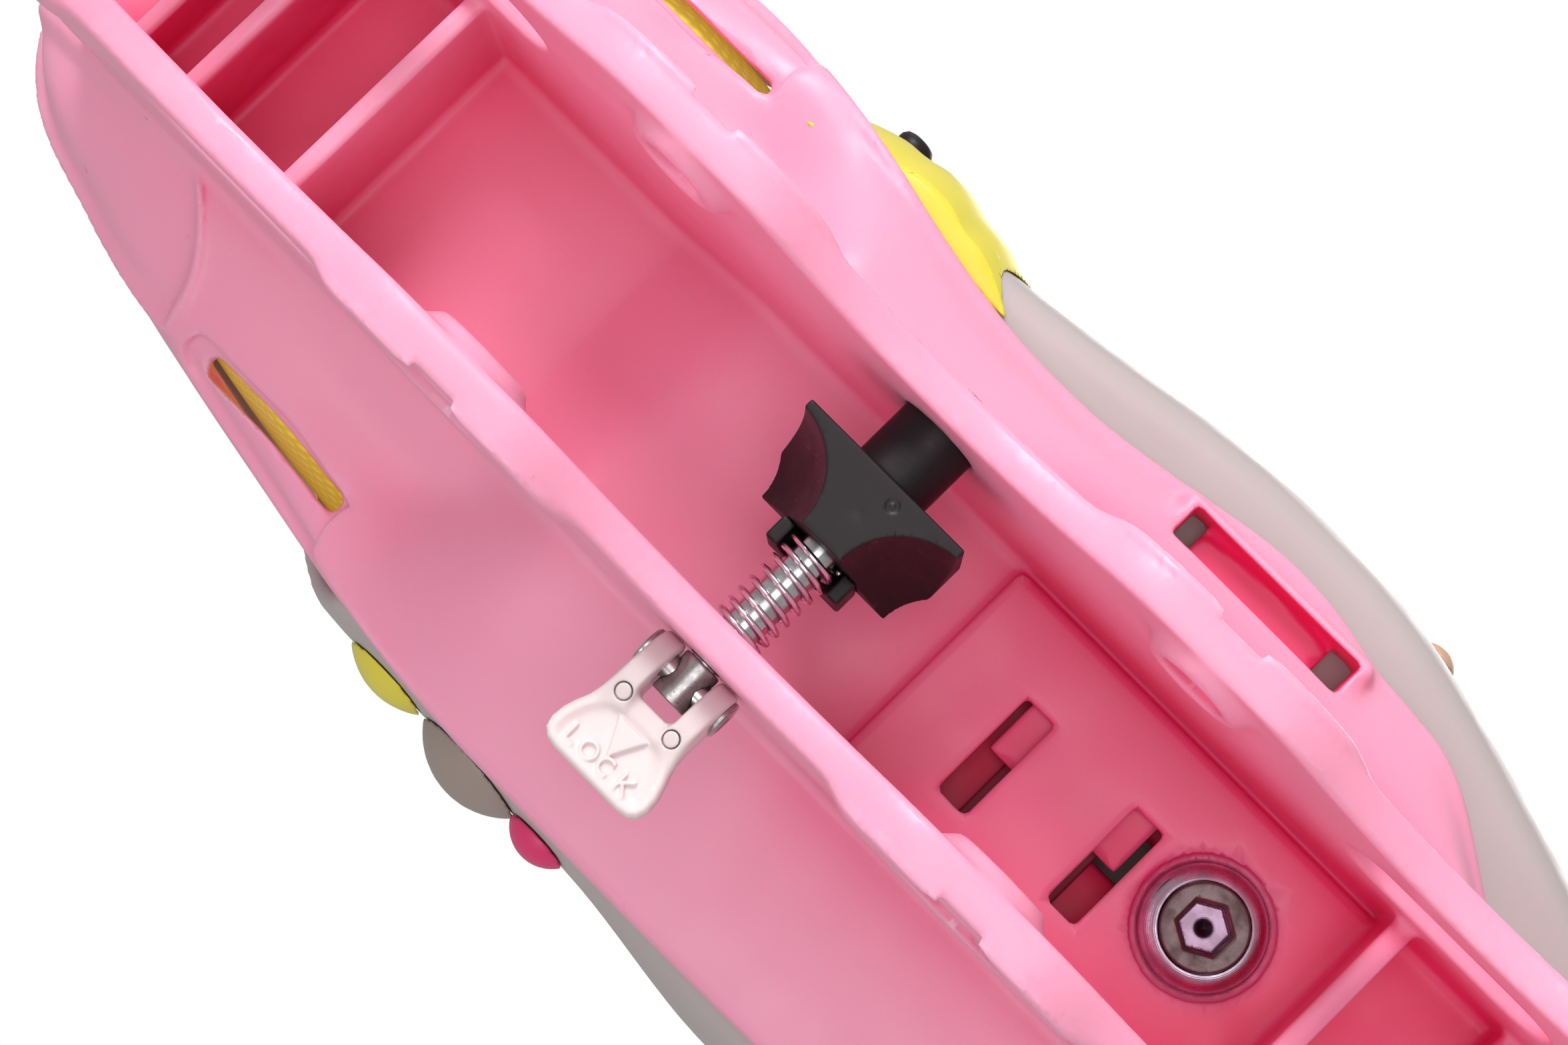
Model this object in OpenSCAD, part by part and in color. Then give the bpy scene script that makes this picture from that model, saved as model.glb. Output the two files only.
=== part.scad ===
// Lower half of a size-adjustable children's skate, without its wheels.
// A moulded base (sole, heel cup and two rails) carries a lever-worked wheel lock between the two
// middle wheels. +X points to the toe, +Y to the lever side, +Z up into the boot. The origin is the
// centre of the second axle bore, midway between the rails. Millimetres.

/* [Frame] */
// Distance between neighbouring axles
axle_pitch = 74; // [70:0.5:78]
// Clear width between the two rails
rail_gap = 29.8; // [28:0.2:32]
// Wall thickness of a rail
rail_t = 4.2; // [3.4:0.1:5]
// Depth of the rail edge below the axle line
rail_drop = 8; // [6:0.5:10]
// Radius of the axle holes
axle_r = 4; // [3:0.1:4.5]
// Height of the conical boss round each axle hole, inside
boss_h = 1.7; // [1.2:0.1:2.8]
// Raised pad round each axle hole, outside
pad_h = 1.3; // [0.8:0.1:2]

/* [Sole] */
// Underside of the sole between the rails at the arch
arch_z = 38; // [36:0.5:42]
// Underside of the sole at the heel
heel_z = 46; // [42:0.5:50]
// Underside of the raised platform ahead of the arch
platform_z = 36.5; // [35:0.5:37.5]
// Height of the open edge of the base ahead of the heel cup
edge_z = 50.2; // [49:0.2:50.4]
// Height of the heel cup
cup_z = 112; // [100:1:120]
// Wall thickness of the base
wall_t = 3.2; // [2.6:0.1:4]

// Widest half width of the base ahead of the arch, lever side
ball_half = 44.9; // [43:0.1:46]
// Half width of the base at the narrow waist, far side
waist_half = 33.8; // [32:0.1:36]
// Half width of the base at its toe end
toe_half = 25.2; // [24.5:0.1:28]
// Half widths of the toe shell at its widest, lever side
shell_half = 49.2; // [48:0.1:51]

/* [Openings] */
// Centre of the oval heel windows along the foot
window_x = -22; // [-26:0.5:-18]
// Height of the centre of the oval heel windows
window_z = 55.6; // [55:0.1:58]
// Length of an oval heel window
window_l = 30; // [24:0.5:34]
// Height of an oval heel window
window_h = 7.2; // [6:0.1:8]
// Length of the two adjustment slots across the sole
slot_l = 14.15; // [12:0.05:15]
// Width of the two adjustment slots
slot_w = 4.35; // [3.8:0.05:5]
// Start of the strap bar along the foot
strap_x = 58.8; // [56:0.1:62]
// Length of the strap bar
strap_l = 29.4; // [26:0.1:32]

/* [Wheel lock] */
// Height of the lock bolt above the axle line
lock_z = 13.3; // [12:0.1:15]
// Radius of the lock bolt
bolt_r = 2.25; // [2:0.05:2.5]
// Sideways travel of the lock between released and locked
lock_travel = 2.5; // [1.5:0.1:3]
// Radius of the two cam discs on the lever
cam_r = 5.25; // [5:0.05:5.3]
// Radius of the black guide pin
guide_r = 4.75; // [4:0.05:5]
// Mean radius of the spring
spring_r = 3.05; // [2.8:0.05:3.3]
// Wire radius of the spring
wire_r = 0.34; // [0.25:0.01:0.45]
// Turns in the spring
spring_turns = 8; // [6:0.5:10]

/* [Size adjustment] */
// Travel of the toe shell between the smallest and largest size
size_travel = 24; // [12:1:24]
// Clamp bolt position ahead of the second axle
clamp_x = 93.9; // [92:0.1:96]

/* [Hidden] */
$fn = 64;
yi = rail_gap/2;
yo = yi + rail_t;
ax = [-axle_pitch, 0, axle_pitch, 2*axle_pitch];
mid = axle_pitch/2;
slot_x = [64.8, 81.7];
slot_y = -4.18;
N = 64;
pink = [0.96, 0.55, 0.70];
white = [0.86, 0.84, 0.84];
yellow = [0.90, 0.85, 0.20];
black = [0.08, 0.07, 0.08];
steel = [0.62, 0.61, 0.62];

// smooth step from 0 to 1 as x goes from a to b
function ease(x, a, b) = let (t = max(0, min(1, (x - a)/(b - a)))) t*t*(3 - 2*t);
// value at x of a plain number, a function of x or a short table
function at(q, x) = is_num(q) ? q : is_function(q) ? q(x) : lookup(x, q);
// closed outline: heel at a, toe at b, half widths wl and wr on the two sides, heights z
function ring(a, b, wl, wr, z, k = 1, o = 0, p = 3) = [for (j = [0:N-1])
  let (f = 360*(j + 0.5)/N, c = cos(f), s = sin(f), x = (a + b)/2 - (b - a)/2*c,
       e = pow(1 - pow(abs(c), p), 1/p))
  [x, (s > 0 ? 1 : -1)*(at(s > 0 ? wl : wr, x)*k - o)*e, at(z, x)]];

// solid skin through a stack of rings; the first and last rings are closed off
module loft(rings) {
  m = len(rings);
  h = N/2;
  pts = [for (r = rings) for (q = r) q];
  side = [for (i = [0:m-2]) for (j = [0:N-1]) let (a = i*N + j, b = i*N + (j + 1)%N, c = a + N, d = b + N)
    each [[a, b, c], [b, d, c]]];
  low = [for (j = [0:h-2]) let (a = j, b = j + 1, c = N - 2 - j, d = N - 1 - j) each [[a, d, b], [b, d, c]]];
  u = (m - 1)*N;
  top = [for (f = low) [u + f[0], u + f[2], u + f[1]]];
  polyhedron(points = pts, faces = concat(side, low, top), convexity = 8);
}

module along_y(x, z, y0, y1) translate([x, y1, z]) rotate([90, 0, 0]) linear_extrude(y1 - y0) children();
module rod_y(x, z, r, y0, y1) translate([x, y1, z]) rotate([90, 0, 0]) cylinder(r = r, h = y1 - y0);
module stadium(l, h) {
  square([l - h, h], center = true);
  for (s = [-1, 1]) translate([s*(l - h)/2, 0]) circle(r = h/2);
}
module cap(r, h) { // shallow dome standing on the plane z = 0
  q = (r*r + h*h)/(2*h);
  intersection() {
    translate([0, 0, h - q]) sphere(r = q, $fn = 128);
    translate([-r, -r, 0]) cube([2*r, 2*r, h + 1]);
  }
}

// half widths of the base: lever side widens to the ball, far side draws in at the waist
heel_l = 40.6;
heel_r = 44.6;
far_half = 37;
wl = function (x) heel_l + 6*ease(x, -58, -88) + (ball_half - heel_l)*ease(x, -45, 25)
  - (ball_half - toe_half)*ease(x, 100, 126);
wr = function (x) heel_r + 4.5*ease(x, -58, -88) - (heel_r - waist_half)*ease(x, -25, 38)
  + (far_half - waist_half)*ease(x, 42, 70) - (far_half - toe_half)*ease(x, 98, 126);
// half width of the flat underside, drawn in towards the toe
flat28 = function (x) 28 - 4*ease(x, 106, 124);
zb = [[-90, heel_z], [-3, heel_z], [11, arch_z], [160, arch_z]];
zs = [[-90, heel_z + 3], [-3, heel_z + 3], [11, arch_z + 3], [160, arch_z + 3]];
z1 = [[-90, heel_z + 3], [-10, heel_z + 2.5], [11, arch_z + 2.5], [160, arch_z + 2.5]];
z1i = [[-90, heel_z + 6.2], [-10, heel_z + 5.7], [11, arch_z + 5.7], [160, arch_z + 5.7]];
z2 = [[-90, 57], [-20, 54], [5, 45.5], [160, 45]];
z2i = [[-90, 59.5], [-20, 56.5], [5, 48], [160, 47.5]];
z3 = [[-90, 66], [-20, 62], [5, 50], [160, 50]];

module tub() loft([
  ring(-76, 144, 17, 17, zb), ring(-80, 147, flat28, flat28, z1),
  ring(-83, 150, wl, wr, z2, 0.93), ring(-84, 152, wl, wr, z3),
  ring(-84, 152, wl, wr, 90, 0.98), ring(-81, 150, wl, wr, cup_z, 0.94),
  ring(-81 + wall_t, 150 - wall_t, wl, wr, cup_z, 0.94, wall_t),
  ring(-84 + wall_t, 152 - wall_t, wl, wr, 90, 0.98, wall_t),
  ring(-84 + wall_t, 152 - wall_t, wl, wr, z3, 1, wall_t),
  ring(-82 + wall_t, 150 - wall_t, wl, wr, z2i, 0.93, wall_t),
  ring(-78, 144, flat28, flat28, z1i, 1, 1.6), ring(-74, 141, 17, 17, zs)]);

// curve that parts the base from the toe shell, seen from the side
cup_edge = concat([[6, edge_z], [0, edge_z + 1.4]],
  [for (t = [0.1:0.1:1.01]) [-2.6 - 44*pow(t, 1.75), edge_z + (cup_z + 1 - edge_z)*t]]);
module above_edge(g) polygon(concat([[190, edge_z + (g > 0 ? g : 0)]],
  [for (q = cup_edge) [q[0] + g, q[1] + (g > 0 ? g : 0)]], [[-52 + g, 140], [190, 140]]));

module rail_side() difference() {
  polygon(concat(
    [for (a = [0:15:90]) [ax[0] - 5.8 - rail_drop*cos(a), -rail_drop*sin(a)]],
    [for (a = [90:-15:0]) [ax[3] + 5.8 + rail_drop*cos(a), -rail_drop*sin(a)]],
    [[ax[3] + 13.6, 5], [ax[3] + 9, 18], [ax[3] - 3, arch_z + 1.5], [11, arch_z + 1.5],
     [-3, heel_z + 1.5], [ax[0] + 3, heel_z + 1.5], [ax[0] - 10, 22], [ax[0] - 13.6, 5]]));
  for (i = [0:2]) translate([ax[i] + mid, -41]) circle(r = 42, $fn = 180);
  for (i = [0, 2]) translate([ax[i] + mid + 0.5, 15]) stadium(28, 12);
}

module chassis() color(pink) difference() {
  union() {
    difference() { tub(); along_y(0, 0, -60, 60) above_edge(0); }
    for (s = [-1, 1]) along_y(0, 0, s > 0 ? yi : -yo, s > 0 ? yo : -yi) rail_side();
    for (x = ax) for (s = [-1, 1]) {
      translate([x, s*yi, 0]) rotate([s*90, 0, 0]) translate([0, 0, -0.5])
        cylinder(r1 = 7.9, r2 = 5.8, h = boss_h + 0.5);
      intersection() {
        translate([x, s*yo, 0]) rotate([-s*90, 0, 0]) translate([0, 0, -0.5])
          cylinder(r1 = 19, r2 = 16, h = pad_h + 0.5);
        translate([x - 30, -60, -rail_drop]) cube([60, 120, 60]);
        translate([ax[0] - 9.5, -60, -rail_drop]) cube([ax[3] - ax[0] + 19, 120, 60]);
      }
    }
    // cross ribs between the rails
    for (q = [[-63, 2.2, 37, heel_z], [-52.4, 2.4, 30, heel_z], [-35.2, 2.4, 25, heel_z],
        [106.8, 2.7, 25, arch_z], [124, 2.4, 31, arch_z]])
      translate([q[0], -yi - 0.5, q[2]]) cube([q[1], rail_gap + 1, q[3] + 1.5 - q[2]]);
    // raised platform with the adjustment slots
    translate([52.2, -13.8, platform_z]) cube([55, yi + 14.3, 3]);
    // runners under the slide plate
    for (s = [-1, 1]) translate([46, s*12.3 - 1.3, arch_z + 1]) cube([84, 2.6, 3.9]);
    // strap bar on the far side and the block it springs from
    translate([strap_x + 1.7, -37.6, 45.2]) cube([strap_l - 2.4, 4.1, 5]);
    translate([strap_x, -35, 42.5]) cube([strap_l, 9, 7.3]);
  }
  for (x = ax) rod_y(x, 0, axle_r, -30, 30);
  for (x = ax) for (s = [-1, 1]) rod_y(x, 0, 8, s > 0 ? yo + 0.3 : -yo - 3, s > 0 ? yo + 3 : -yo - 0.3);
  rod_y(mid, lock_z, bolt_r + 0.06, 5, 30);
  rod_y(mid, lock_z, guide_r + 0.06, -30, -5);
  // adjustment slots, clamp bolt seat and hole, pocket for the latch
  for (x = slot_x) translate([x - slot_w/2, slot_y, 30]) cube([slot_w, slot_l, 14]);
  translate([clamp_x, 0, platform_z - 1]) cylinder(r = 8.1, h = 2.1);
  translate([clamp_x, 0, 30]) cylinder(r = 2.6, h = 20);
  translate([56, -13.2, 38.6]) cube([31, 26.4, 8]);
  // recess behind the strap bar, open at both ends
  translate([strap_x + 2, -33.5, 36]) cube([strap_l - 4, 4.1, 11.6]);
  for (q = [[strap_x + 2, 2.4], [strap_x + 24, 3.4]]) translate([q[0], -33.5, 40]) cube([q[1], 4.1, 20]);
  // oval windows in the heel cup
  for (s = [-1, 1]) along_y(window_x, window_z, s > 0 ? 33 : -60, s > 0 ? 60 : -33)
    rotate(-2) stadium(window_l, window_h);
}

// half widths of the toe shell: fullest over the ball of the foot
tl = function (x) shell_half - 2.4 + 3*ease(x, 20, -20) + 2.4*ease(x, 37, 64) - 7*ease(x, 90, 157);
tr = function (x) shell_half - 7.2 + 2*ease(x, 20, -20) + 4.9*ease(x, 24, 70) - 6.5*ease(x, 80, 130);
module shell_rings(i) {
  o = i*2.6;
  loft([ring(-44, 147 - o, tl, tr, 50.7 + o, 0.86, o), ring(-46, 152 - o, tl, tr, 54 + i*1.2, 0.94, o),
    ring(-48, 156 - o, tl, tr, 62, 0.985, o), ring(-48, 154 - o, tl, tr, 72, 1, o),
    ring(-48, 141 - o, tl, tr, 84, 0.955, o), ring(-46, 116 - o, tl, tr, 94 + i*0.01, 0.88, o)]);
}
module shell_solid() intersection() {
  shell_rings(0);
  along_y(0, 0, -60, 60) above_edge(0.5);
}
module toe_shell() color(white) difference() {
  shell_solid();
  shell_rings(1);
}

// plate under the toe shell, clamped by the bolt through a long slot
module slide_plate() color(pink) difference() {
  union() {
    translate([50, -14, 43]) cube([54, 28, 2.6]);
    for (x = [51, 96]) for (s = [-1, 1]) translate([x, s*10.3 - 3.3, 45.6]) cube([7.5, 6.6, 5.1]);
  }
  translate([clamp_x - size_travel/2, 0, 44]) linear_extrude(6, center = true)
    stadium(size_travel + 6, 6);
}
module latch_tongue() color(pink) translate([63.5, -12.8, 38.8]) cube([19.4, 15.3, 2.2]);
module index_plate() color(steel) translate([66, -6, 41.2]) cube([14.5, 17.5, 1.4]);

// soft liner and insole
ll = [[-80, 37], [-45, 37.1], [-25, 37.8], [0, 38.5], [34, 41], [69, 41.5], [105, 37], [150, 32]];
lr = [[-80, 39], [-50, 41], [-25, 40.6], [0, 36], [34, 35.5], [69, 38], [105, 34], [150, 30]];
lu = [[-80, 33.6], [-40, 31.5], [-25, 30], [0, 27.5], [34, 27], [62, 26], [100, 24]];
lt = [[-80, 28], [-40, 27.5], [0, 26], [60, 24]];
module liner_rings(o) loft([
  ring(-72 + o, 136 - o, ll, lr, 53.7 + o, 0.73, o), ring(-77 + o, 144 - o, ll, lr, 57.5 + o*0.6, 0.88, o),
  ring(-78 + o, 147 - o, ll, lr, 66, 1, o), ring(-78 + o, 134 - o, ll, lr, 78, 0.95, o),
  ring(-77.5 + o, 116 - o, lu, lu, 86, 1.05, o), ring(-76 + o, 98 - o, lu, lu, 93, 1, o),
  ring(-72 + o, 60 - o, lt, lt, 118 + o*0.01, 1, o)]);
module liner() color(yellow) difference() { liner_rings(0); liner_rings(3.8); }
module insole() color([0.35, 0.33, 0.35]) translate([0, 0, 57.6])
  linear_extrude(2.6) polygon([for (q = ring(-62, 120, ll, lr, 0, 0.58)) [q[0], q[1]]]);

// wheel lock
pin_y = yo + 2.9;
cam_y = pin_y + cam_r - 2.8;
// lever seen along Z: straight arms, then a flare to a round-cornered grip
arm_w = 5.2;
grip_w = 7.1;
grip_r = 1.7;
grip_end = 36.3;
lever_edge = concat([[arm_w, yo]],
  [for (t = [0:0.25:1]) [arm_w + (grip_w - arm_w)*ease(t, 0, 1), 27.2 + 7*t]],
  [for (a = [0:30:90]) [grip_w - grip_r + grip_r*cos(a), grip_end - grip_r + grip_r*sin(a)]]);
module lever_plan() polygon(concat(lever_edge,
  [for (i = [len(lever_edge)-1:-1:0]) [-lever_edge[i][0], lever_edge[i][1]]]));
module lock_lever() color(white) translate([mid, 0, 0]) difference() {
  union() {
    intersection() {
      translate([0, 0, lock_z - 8]) linear_extrude(16) lever_plan();
      union() {
        translate([-10, cam_y, lock_z]) rotate([0, 90, 0]) cylinder(r = cam_r, h = 20);
        translate([-10, cam_y, lock_z - 3.4]) cube([20, 20, 3.4]);
      }
    }
    translate([0, 31, lock_z - 3.9]) linear_extrude(1) polygon([[-2.2, -1.9], [2.2, -1.9], [0, 1.4]]);
    for (y = [33.6, 34.7]) translate([-4, y, lock_z - 3.7]) cube([8, 0.5, 1]);
  }
  // gap between the two cam discs
  translate([-2.45, yo - 1, 0]) cube([4.9, 7.3, 30]);
  translate([-1.45, yo + 4, 0]) cube([2.9, 3.3, 30]);
  for (s = [-1, 1]) translate([s*1.45, yo + 6.3, 0]) cylinder(r = 1, h = 30);
  translate([-8, pin_y, lock_z]) rotate([0, 90, 0]) cylinder(r = 1.55, h = 16);
}
module lever_pin() color(steel) translate([mid, pin_y, lock_z]) difference() {
  union() {
    translate([-5.25, 0, 0]) rotate([0, 90, 0]) cylinder(r = 1.5, h = 10.5);
    for (s = [-1, 1]) translate([s*5.25, 0, 0]) rotate([0, s*90, 0]) cylinder(r1 = 2.3, r2 = 2, h = 0.6);
  }
  for (s = [-1, 1]) translate([s*5.5, 0, 0]) rotate([0, s*90, 0]) cylinder(r1 = 0.9, r2 = 1.5, h = 0.5);
}
module lever_barrel() color(steel) difference() { // eye end of the bolt, between the cam discs
  union() {
    rod_y(mid, lock_z, 2.35, yo + 0.2, yo + 5.2);
    translate([mid, yo + 5.6, lock_z]) rotate([90, 0, 0]) cylinder(r1 = 1.95, r2 = 2.35, h = 0.4);
  }
  translate([mid - 5, pin_y, lock_z]) rotate([0, 90, 0]) cylinder(r = 1.5, h = 10);
  rod_y(mid, lock_z, 1.8, yo - 1, pin_y);
}
module lock_bolt() color(steel) {
  rod_y(mid, lock_z, 1.8, yo, pin_y - 1.5 - 0.05);
  rod_y(mid, lock_z, bolt_r, -20.5, yo + 0.1);
}
module lock_spring() color(steel) {
  K = 16; S = 8; T = floor(spring_turns*K);
  y0 = 2.2 + wire_r + 0.05; y1 = yi - wire_r - 0.05;
  pts = [for (i = [0:T]) let (a = 360*i/K, y = y0 + (y1 - y0)*i/T) for (j = [0:S-1])
    let (b = 360*j/S, r = spring_r + wire_r*cos(b)) [mid + r*cos(a), y + wire_r*sin(b), lock_z + r*sin(a)]];
  side = [for (i = [0:T-1]) for (j = [0:S-1]) let (a = i*S + j, b = i*S + (j + 1)%S)
    each [[a, b, a + S], [b, b + S, a + S]]];
  ends = [[for (j = [S-1:-1:0]) j], [for (j = [0:S-1]) T*S + j]];
  polyhedron(points = pts, faces = concat(side, ends), convexity = 8);
}
module spring_seat() color(black) difference() {
  translate([mid - 5.3, 2.25, lock_z - 0.5]) cube([10.6, 3, 8.2]);
  rod_y(mid, lock_z, spring_r + wire_r + 0.25, 0, 10);
}
module lock_block() color(black) difference() {
  translate([mid - 11.15, -7.6, 6]) cube([22.3, 9.8, 15]);
  rod_y(mid, lock_z, bolt_r, -10, 10);
  for (x = [0, axle_pitch]) translate([x, 2.2, 0]) rotate([90, 0, 0]) {
    rotate_extrude($fn = 180) translate([26, 0]) circle(r = 8.7, $fn = 64);
    cylinder(r = 26, h = 17.4, center = true);
  }
}
module guide_pin() color(black) difference() {
  rod_y(mid, lock_z, guide_r, -19.4, -7.6);
  rod_y(mid, lock_z, bolt_r, -30, 0);
  rod_y(mid, lock_z, 3.9, -20, -16.4);
}
module lock_nut() color(steel) translate([mid, -16.4, lock_z]) rotate([90, 0, 0]) difference() {
  cylinder(r = 3.85, h = 2.8, $fn = 6);
  translate([0, 0, -1]) cylinder(r = bolt_r, h = 6);
}

// clamp bolt, dished washer and nut of the size adjustment
module frame_bolt() color(steel) translate([clamp_x, 0, 0]) difference() {
  union() {
    translate([0, 0, 34.4]) cylinder(r1 = 4.7, r2 = 5, h = 0.4);
    translate([0, 0, 34.8]) cylinder(r = 5, h = 2);
    translate([0, 0, 36.8]) cylinder(r = 2.5, h = 13);
  }
  translate([0, 0, 34]) cylinder(r = 2.5/cos(30), h = 2.4, $fn = 6);
}
module frame_washer() color([0.8, 0.8, 0.82]) translate([clamp_x, 0, 0]) difference() {
  translate([0, 0, 35.2]) cylinder(r1 = 5.6, r2 = 7.55, h = 2.3);
  translate([0, 0, 34]) cylinder(r = 5.06, h = 2.8);
  translate([0, 0, 34]) cylinder(r = 2.55, h = 8);
}
module frame_nut() color(steel) difference() {
  translate([clamp_x - 5, -5, 45.8]) cube([10, 10, 3.8]);
  translate([clamp_x, 0, 40]) cylinder(r = 2.5, h = 20);
}

// plain raised ornaments on the sides of the toe shell
module badge(x, y, z, r, h, s) difference() {
  translate([x, s*y, z]) rotate([-s*90, 0, 0]) cap(r, h);
  shell_rings(0);
}
module badge_right() color(yellow) difference() {
  badge(13, 40.6, 69, 17.5, 4.7, -1);
  translate([5, -60, 69]) rotate([-90, 0, 0]) cylinder(r = 2.6, h = 30);
}
module badge_right_dot() color(black) difference() {
  translate([5, -45.6, 69]) rotate([90, 0, 0]) translate([0, 0, -5]) cylinder(r = 2.55, h = 5);
  shell_rings(0);
}
module badge_left_disc() color(yellow) badge(6.8, 44.6, 67, 7.4, 3.6, 1);
module badge_left_dome() color([0.68, 0.61, 0.60]) badge(21.6, 44.9, 67, 9, 5.4, 1);
module badge_left_bead() color([0.90, 0.10, 0.45]) difference() {
  badge(33.4, 44.9, 65, 5, 4.2, 1);
  // notch that clears the dome beside it
  translate([21.6, 44.7, 67]) rotate([-90, 0, 0]) cap(9.3, 5.6);
}
module toe_stud() color([0.80, 0.66, 0.58]) badge(93, 43.4, 68, 3.2, 3, -1);

chassis();
toe_shell();
slide_plate();
latch_tongue();
index_plate();
liner();
insole();
lock_lever();
lever_pin();
lever_barrel();
lock_bolt();
lock_spring();
spring_seat();
lock_block();
guide_pin();
lock_nut();
frame_bolt();
frame_washer();
frame_nut();
badge_right();
badge_right_dot();
badge_left_disc();
badge_left_dome();
badge_left_bead();
toe_stud();
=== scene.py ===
# Looks of the adjustable skate base, built round its CAD frame. Worked in millimetres, scaled at the end.
import bmesh
import bpy
import math
import numpy as np
import openvdb as vdb
from mathutils import Matrix, Vector


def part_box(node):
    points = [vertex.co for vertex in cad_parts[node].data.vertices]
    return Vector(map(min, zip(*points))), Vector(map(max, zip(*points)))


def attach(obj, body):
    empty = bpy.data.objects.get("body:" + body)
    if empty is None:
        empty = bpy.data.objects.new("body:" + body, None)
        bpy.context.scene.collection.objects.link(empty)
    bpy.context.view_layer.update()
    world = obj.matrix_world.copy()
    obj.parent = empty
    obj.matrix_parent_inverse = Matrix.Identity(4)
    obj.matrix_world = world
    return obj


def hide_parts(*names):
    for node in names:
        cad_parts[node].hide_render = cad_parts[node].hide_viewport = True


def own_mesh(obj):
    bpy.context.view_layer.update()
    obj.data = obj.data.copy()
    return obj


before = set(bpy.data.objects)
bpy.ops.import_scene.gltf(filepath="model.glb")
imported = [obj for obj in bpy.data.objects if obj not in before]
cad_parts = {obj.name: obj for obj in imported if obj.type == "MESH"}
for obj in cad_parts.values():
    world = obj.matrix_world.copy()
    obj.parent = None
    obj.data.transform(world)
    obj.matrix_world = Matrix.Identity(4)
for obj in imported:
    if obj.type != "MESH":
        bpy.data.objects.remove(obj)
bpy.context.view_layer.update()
MM = 0.001

# ---------------------------------------------------------------- distance fields
def length(*v): return np.sqrt(sum(a*a for a in v))

def smin(a, b, k):
    if k <= 0: return np.minimum(a, b)
    h = np.maximum(k - np.abs(a - b), 0)/k
    return np.minimum(a, b) - h*h*k*0.25

def smax(a, b, k): return -smin(-a, -b, k)

def step(t):
    t = np.clip(t, 0, 1)
    return t*t*(3 - 2*t)

def ease(x, a, b):
    """Smooth step from 0 at a to 1 at b."""
    return step((x - a)/(b - a))

def rbox(x, y, z, lo, hi, r=0.0):
    q = [abs(v - (a + b)/2) - ((b - a)/2 - r) for v, a, b in zip((x, y, z), lo, hi)]
    outside = length(*[np.maximum(v, 0) for v in q])
    inside = np.minimum(np.maximum(np.maximum(q[0], q[1]), q[2]), 0)
    return outside + inside - r

def disc(rho, t, r, t0, t1, e=0.0):
    a, b = rho - (r - e), abs(t - (t0 + t1)/2) - ((t1 - t0)/2 - e)
    return length(np.maximum(a, 0), np.maximum(b, 0)) + np.minimum(np.maximum(a, b), 0) - e

def cone(rho, t, r0, t0, r1, t1, k=0.4):
    s = (r1 - r0)/(t1 - t0)
    c = 1/math.sqrt(1 + s*s)
    side = (rho - (r0 + s*(t - t0)))*c
    return smax(side, abs(t - (t0 + t1)/2) - abs(t1 - t0)/2, k)

def stadium(u, v, l, h):
    q = np.maximum(abs(u) - (l - h)/2, 0)
    return length(q, v) - h/2

def poly(u, v, pts):
    u, v = np.broadcast_arrays(np.asarray(u, float), np.asarray(v, float))
    d, s = np.full(u.shape, 1e9), np.ones(u.shape)
    for i in range(len(pts)):
        (ax, ay), (bx, by) = pts[i], pts[i - 1]
        ex, ey, wx, wy = bx - ax, by - ay, u - ax, v - ay
        t = np.clip((wx*ex + wy*ey)/(ex*ex + ey*ey + 1e-12), 0, 1)
        d = np.minimum(d, (wx - ex*t)**2 + (wy - ey*t)**2)
        c = np.stack([v >= ay, v < by, ex*wy > ey*wx])
        s = np.where(c.all(0) | (~c).all(0), -s, s)
    return s*np.sqrt(d)

class Grid:
    """A dense distance field over a box, in millimetres."""
    def __init__(self, lo, hi, h):
        self.h = h
        self.i0 = np.floor(np.array(lo)/h).astype(int) - 3
        self.n = np.ceil(np.array(hi)/h).astype(int) + 4 - self.i0
        self.d = np.full(tuple(self.n), 9.0, np.float32)
    def part(self, lo, hi, pad=4.0):
        a = np.maximum(np.floor((np.array(lo) - pad)/self.h).astype(int) - self.i0, 0)
        b = np.minimum(np.ceil((np.array(hi) + pad)/self.h).astype(int) - self.i0 + 1, self.n)
        ax = [((np.arange(i, j) + o)*self.h).astype(np.float32) for i, j, o in zip(a, b, self.i0)]
        span = tuple(slice(i, j) for i, j in zip(a, b))
        return span, ax[0][:, None, None], ax[1][None, :, None], ax[2][None, None, :]
    def all(self):
        return self.part(self.i0*self.h, (self.i0 + self.n)*self.h)
    def add(self, lo, hi, f, k=0.0):
        s, x, y, z = self.part(lo, hi)
        self.d[s] = smin(self.d[s], f(x, y, z), k)
        return self
    def cut(self, lo, hi, f, k=0.0):
        s, x, y, z = self.part(lo, hi)
        self.d[s] = smax(self.d[s], -f(x, y, z), k)
        return self
    def mesh(self, name, adaptivity=0.0):
        b = 3*self.h
        g = vdb.FloatGrid(b)
        g.gridClass = vdb.GridClass.LEVEL_SET
        g.copyFromArray(np.clip(self.d, -b, b).astype(np.float32), ijk=tuple(int(v) for v in self.i0))
        g.transform = vdb.createLinearTransform(voxelSize=self.h)
        pts, tris, quads = g.convertToPolygons(isovalue=0.0, adaptivity=adaptivity)
        tris = np.array(tris, int).reshape(-1, 3)
        quads = np.array(quads, int).reshape(-1, 4)
        return to_mesh(name, np.array(pts, float), tris, quads)

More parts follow.
